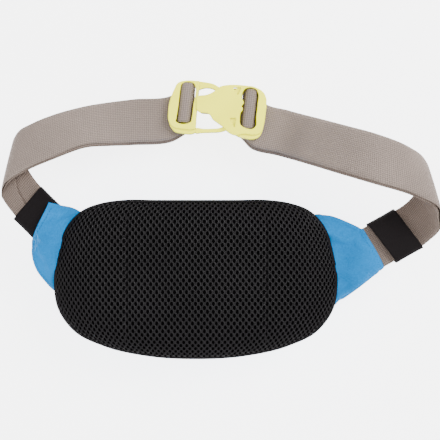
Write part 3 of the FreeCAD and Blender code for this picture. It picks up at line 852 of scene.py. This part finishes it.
def keeper(name, start, heading, s0, s1, skew, z_mid, half_width, half_height, tilt, material):
    """An elastic sleeve round both layers of webbing."""
    d = np.array([math.cos(heading), math.sin(heading), 0])
    w = np.array([math.sin(heading), -math.cos(heading), 0])
    rows, ring = 16, 56
    profile = oval(half_width, half_height, ring, 5.0)
    verts, uvs = [], []
    girth = np.r_[0, np.cumsum([math.dist(profile[k], profile[k + 1]) for k in range(ring - 1)])]
    for i in range(rows):
        t = i / (rows - 1)
        for k, (v, h) in enumerate(profile):
            s = s0 + (s1 - s0) * t + v * math.tan(skew)
            pinch = 1 - 0.012 * math.sin(math.pi * t)
            pucker = 0.35 * noise.noise(Vector((s / 5, v / 9, h / 3 + 7)))
            p = (np.array([start[0], start[1], 0]) + d * s + w * v * pinch
                 + np.array([0, 0, z_mid - v * tilt + h * (1 + 0.05 * math.sin(math.pi * t)) + pucker]))
            verts.append(p)
            uvs.append((s, girth[k]))
    return thicken(make_mesh(name, verts, grid_faces(rows, ring, wrap=True), material, uvs), 1.1)


left_keeper = keeper("left_elastic_keeper", (-127.3, 48.5), math.radians(135.4), 1.8, 25.2,
                     math.radians(2.3), 56.0, 18.4, 3.1, -0.15, elastic)
finish_piece(left_keeper, "left_keeper_body", "elastic", "left_keeper")
right_keeper = keeper("right_elastic_keeper", (154.6, 28.35), math.radians(29.4), 6.3, 32.5,
                      math.radians(8), 57.7, 20.3, 4.4, 0.0, elastic)
finish_piece(right_keeper, "right_keeper_body", "elastic", "right_keeper")

# ---------------------------------------------------------------- buckle


def moulded(name, parts):
    """Moulded plastic from flat parts: (rim, holes, low, high, rounding of the edges, painted shade on the
    whole part). Faces that turn sideways also take the darker lime as painted shade.
    """
    pieces = []
    for number, (rim, holes, low, high, rounding, _) in enumerate(parts):
        curve = bpy.data.curves.new(name + str(number), "CURVE")
        curve.dimensions = "2D"
        curve.fill_mode = "BOTH"
        curve.bevel_depth = rounding
        curve.bevel_resolution = 3
        curve.offset = -rounding
        curve.extrude = max(0.01, (high - low) / 2 - rounding)
        for loop in [rim] + list(holes):
            line = smooth_line(loop, 7 * len(loop), closed=True) if len(loop) > 4 else np.array(loop)
            spline = curve.splines.new("POLY")
            spline.points.add(len(line) - 1)
            for point, (u, v) in zip(spline.points, line):
                point.co = (u, v, 0, 1)
            spline.use_cyclic_u = True
        form = bpy.data.objects.new(name + str(number), curve)
        bpy.context.scene.collection.objects.link(form)
        bpy.context.evaluated_depsgraph_get().update()
        mesh = bpy.data.meshes.new_from_object(form.evaluated_get(bpy.context.evaluated_depsgraph_get()))
        bpy.data.objects.remove(form)
        for vertex in mesh.vertices:
            vertex.co = Vector(buckle_point(vertex.co.x, vertex.co.y, (low + high) / 2 + vertex.co.z))
        pieces.append(mesh)
    verts, faces, shade = [], [], []
    for number, mesh in enumerate(pieces):
        start = len(verts)
        verts += [tuple(v.co) for v in mesh.vertices]
        faces += [tuple(start + k for k in poly.vertices) for poly in mesh.polygons]
        # Side faces, and every face of a part flagged in the last column, take the darker lime as painted
        # shade.
        painted_shade_part = parts[number][5]
        shade += [1 if painted_shade_part or poly.normal.z < 0.3 else 0 for poly in mesh.polygons]
    obj = make_mesh(name, verts, faces, lime)
    obj.data.materials.append(lime_painted_shade)
    if len(obj.data.polygons) == len(shade):
        obj.data.polygons.foreach_set("material_index", shade)
    weld = obj.modifiers.new("weld", "WELD")
    weld.merge_threshold = 0.00001
    apply_modifiers(obj)
    for poly in obj.data.polygons:
        poly.use_smooth = abs(poly.normal.z) < 0.999
    return obj


def rect(u0, u1, v0, v1):
    return [(u0, v0), (u1, v0), (u1, v1), (u0, v1)]


RIGHT_RIM = [(19.6, 21.4)] + [(u, v) for u, v in FEMALE_RIM if u > 20] + [(19.4, -22.6)]


def drawn_in(rim, below, share, start=-100):
    """The outline with its near side drawn in past start, which leaves a ledge on the part under it."""
    return [(u, v if v > below or u < start else below + (v - below) * share) for u, v in rim]


def inset(rim, depth):
    """The outline pulled towards its centre by about the depth."""
    middle = np.mean(np.array(rim), axis=0)
    line = []
    for u, v in rim:
        away = math.hypot(u - middle[0], v - middle[1])
        line.append((u + (middle[0] - u) * depth / away, v + (middle[1] - v) * depth / away))
    return line


male = moulded("buckle_male", [
    (drawn_in(MALE_RIM, -14.8, 0.6), [MALE_SLOT], 5.6, 9.0, 1.2, False),
    (MALE_RIM, [MALE_SLOT], 0.3, 6.2, 1.1, False),
    (rect(-31.5, -25.5, -14, 21), [], 2.6, 6.0, 0.6, True),
    (rect(-18, 11, -1.6, 1.6), [], 3.6, 6.8, 0.4, True),
])
upper_arm = moulded("buckle_upper_arm", [(UPPER_ARM, [], 2.2, 7.0, 1.0, False)])
lower_arm = moulded("buckle_lower_arm", [(LOWER_ARM, [], 2.2, 7.0, 1.0, False)])
female = moulded("buckle_female", [
    (drawn_in(FEMALE_RIM, -15.6, 0.62, 20), [FEMALE_SLOT, UPPER_NOTCH, LOWER_NOTCH], 7.3, 11.0, 1.2, False),
    (RIGHT_RIM, [FEMALE_SLOT], 1.5, 7.9, 0.6, False),
    (inset(FEMALE_RIM, 1.6), [inset(FEMALE_SLOT, -0.6)], 0.0, 2.4, 0.8, True),
    (rect(25.5, 31, -15, 20), [], 2.6, 6.0, 0.6, True),
])
finish_piece(male, "male_half", "buckle_plastic", "buckle_male_frame")
finish_piece(upper_arm, "prong_upper", "buckle_plastic", "buckle_prong_upper")
finish_piece(lower_arm, "prong_lower", "buckle_plastic", "buckle_prong_lower")
finish_piece(female, "female_half", "buckle_plastic", "buckle_female_body")

# ---------------------------------------------------------------- zips


def zip_point(kind, x, y, z):
    """From a zip's own frame (travel, across, depth) to the pack's frame."""
    if kind == "pocket_zip":
        return (x, POCKET_ZIP_Y + y, FRONT_Z + z)
    return (x, POUCH[1] - z, MAIN_ZIP_Z + y)


# Sections of one coil tooth: distance from the middle, half width, lower and upper level.
COIL_SECTIONS = ((0.35, 0.25, 1.2, 2.3), (0.6, 0.42, 1.0, 2.5), (1.5, 0.42, 1.0, 2.6), (1.85, 0.3, 1.2, 2.4))


def build_coil(kind):
    """Interlocked teeth along the closed zip."""
    verts, faces = [], []
    pitch = 1.3
    for k in range(int(2 * ZIP_HALF / pitch)):
        x = -ZIP_HALF + pitch * (k + 0.5)
        for side, shift in ((1, 0.0), (-1, pitch / 2)):
            base = len(verts)
            for s, wide, low, high in COIL_SECTIONS:
                for dx, z in ((-wide, low), (wide, low), (wide, high), (-wide, high)):
                    verts.append(zip_point(kind, x + shift + dx, side * s, z))
            faces += grid_faces(4, 4, wrap=True, start=base)
            faces += [(base, base + 1, base + 2, base + 3), (base + 12, base + 13, base + 14, base + 15)]
    return make_mesh(kind + "_coil", verts, faces, zip_coil, smooth=False)


def build_tabs(kind):
    """A small folded tab over each end of the zip."""
    verts, faces = [], []
    for x0 in (-ZIP_HALF - 3, ZIP_HALF - 1):
        base = len(verts)
        for z, edge in ((-0.5, 0.0), (-1.0, 0.0), (-1.3, 0.4)):
            for x, y in ((x0 + edge, -5 + edge), (x0 + 4 - edge, -5 + edge),
                         (x0 + 4 - edge, 5 - edge), (x0 + edge, 5 - edge)):
                verts.append(zip_point(kind, x, y, z))
        faces += grid_faces(3, 4, wrap=True, start=base)
        faces += [(base, base + 1, base + 2, base + 3), (base + 8, base + 9, base + 10, base + 11)]
    return make_mesh(kind + "_end_tabs", verts, faces, zip_tape, smooth=False)


for kind in ("main_zip", "pocket_zip"):
    finish_piece(build_coil(kind), ROOT, "zip_coil", kind + "_teeth")
    finish_piece(build_tabs(kind), ROOT, "zip_tape", kind + "_stops")


def dress(node, material):
    """Gives a plain node its finished material."""
    data = NODES[node].data
    data.materials.clear()
    data.materials.append(material)


for kind in ("main_zip", "pocket_zip"):
    dress(kind + "_slider", zip_metal)
    dress(kind + "_pull", zip_metal)
    dress(kind + "_tapes", zip_tape)
dress("back_liner", lining)
dress("pocket_lining", lining)

# ---------------------------------------------------------------- stitching


line = outline(POUCH[0] - 0.6, POUCH[1] - 0.6, 500)
points = np.column_stack([line, pad_height(line) + 0.15])
seam = stitches("binding_stitch", np.vstack([points, points[:1]]), level_normals(len(points) + 1),
                thread_black, 2.2, 3.3)
finish_piece(seam, ROOT, "binding")

for kind in ("main_zip", "pocket_zip"):
    for tag, y in (("near", -5.4), ("far", 5.4)):
        xs = np.linspace(-ZIP_HALF - 2, ZIP_HALF + 2, 70)
        points = np.array([zip_point(kind, x, y, -0.15) for x in xs])
        outwards = np.array(zip_point(kind, 0, 0, -1)) - np.array(zip_point(kind, 0, 0, 0))
        seam = stitches(kind + "_stitch_" + tag, points, np.tile(outwards, (70, 1)), thread_blue, 2.0, 3.0,
                        0.5)
        finish_piece(seam, ROOT, "shell_fabric")


def sewn_line(name, piece, xy, material, body, slot, **sizes):
    """Stitches laid on the upper side of a piece along a line seen from above."""
    points, normals = [], []
    for x, y in xy:
        hit, place, normal, _ = piece.ray_cast(Vector((x * MM, y * MM, 0.2)), Vector((0, 0, -1)))
        if hit:
            points.append(np.array(place) / MM)
            normals.append(np.array(normal))
    finish_piece(stitches(name, np.array(points), np.array(normals), material, **sizes), body, slot)


def beside(line, gap):
    """The line moved sideways, to its left, by a gap."""
    line = smooth_line(line, 90)
    ahead = np.gradient(line, axis=0)
    ahead /= np.linalg.norm(ahead, axis=1)[:, None]
    return line + np.column_stack([-ahead[:, 1], ahead[:, 0]]) * gap


# Seams sewn near the free edges of the wings, each beside a line by a gap.
WING_SEAMS = (
    ("left_wing_end_stitch", left_wing, [(-125, 64), (-129, 57), (-135.2, 46), (-141, 36)], 3.2),
    ("left_wing_edge_stitch", left_wing,
     [(-126, -9), (-132, -3.5), (-139.5, 8), (-143, 21), (-142.6, 32)], -2.6),
    ("right_wing_end_stitch", right_wing, [(145, 41.5), (150, 34), (156.3, 23), (161.5, 13)], -3.2),
    ("right_wing_edge_stitch", right_wing,
     [(125, -19.8), (131, -15.4), (145, -4.8), (156, 4.1), (160, 7.8)], 2.8),
)
for name, wing, line, gap in WING_SEAMS:
    sewn_line(name, wing, beside(line, gap), thread_blue, ROOT, "wing_fabric",
              length=1.8, pitch=2.8, width=0.4, rise=0.15)

# ---------------------------------------------------------------- stage, lights, camera

floor_paper = Look("floor_paper", (0.86, 0.86, 0.87), 0.9, Emission_Strength=4.2, Emission_Color=(1, 1, 1, 1))
reach = 3000
corners = [(-reach, -reach, -0.5), (reach, -reach, -0.5), (reach, reach, -0.5), (-reach, reach, -0.5)]
floor = make_mesh("floor", corners, [(0, 1, 2, 3)], floor_paper.material, smooth=False)

world = bpy.data.worlds.new("studio")
bpy.context.scene.world = world
world.use_nodes = True
world.node_tree.nodes["Background"].inputs[0].default_value = (0.95, 0.97, 1.0, 1)
world.node_tree.nodes["Background"].inputs[1].default_value = 0.8


def softbox(name, place, target, size, power):
    light = bpy.data.lights.new(name, "AREA")
    light.shape = "SQUARE"
    light.size = size
    light.energy = power
    obj = bpy.data.objects.new(name, light)
    bpy.context.scene.collection.objects.link(obj)
    obj.location = place
    obj.rotation_euler = (Vector(target) - Vector(place)).to_track_quat("-Z", "Y").to_euler()


softbox("key", (0.75, 0.5, 1.0), (0, 0.05, 0), 0.6, 17)
softbox("top", (0.05, 0.1, 1.3), (0, 0.05, 0), 0.7, 7)
softbox("fill", (-0.8, -0.5, 0.9), (0, 0.05, 0), 0.9, 6)
softbox("front_low", (0.1, -1.0, 0.5), (0, 0.0, 0.03), 0.8, 3)

camera = bpy.data.cameras.new("camera")
camera.sensor_width = 36
camera.lens = 36 / 2 / math.tan(math.radians(18.04))
view = bpy.data.objects.new("camera", camera)
bpy.context.scene.collection.objects.link(view)
view.location = (0.0210, 0.0516, 0.640)
bpy.context.scene.camera = view
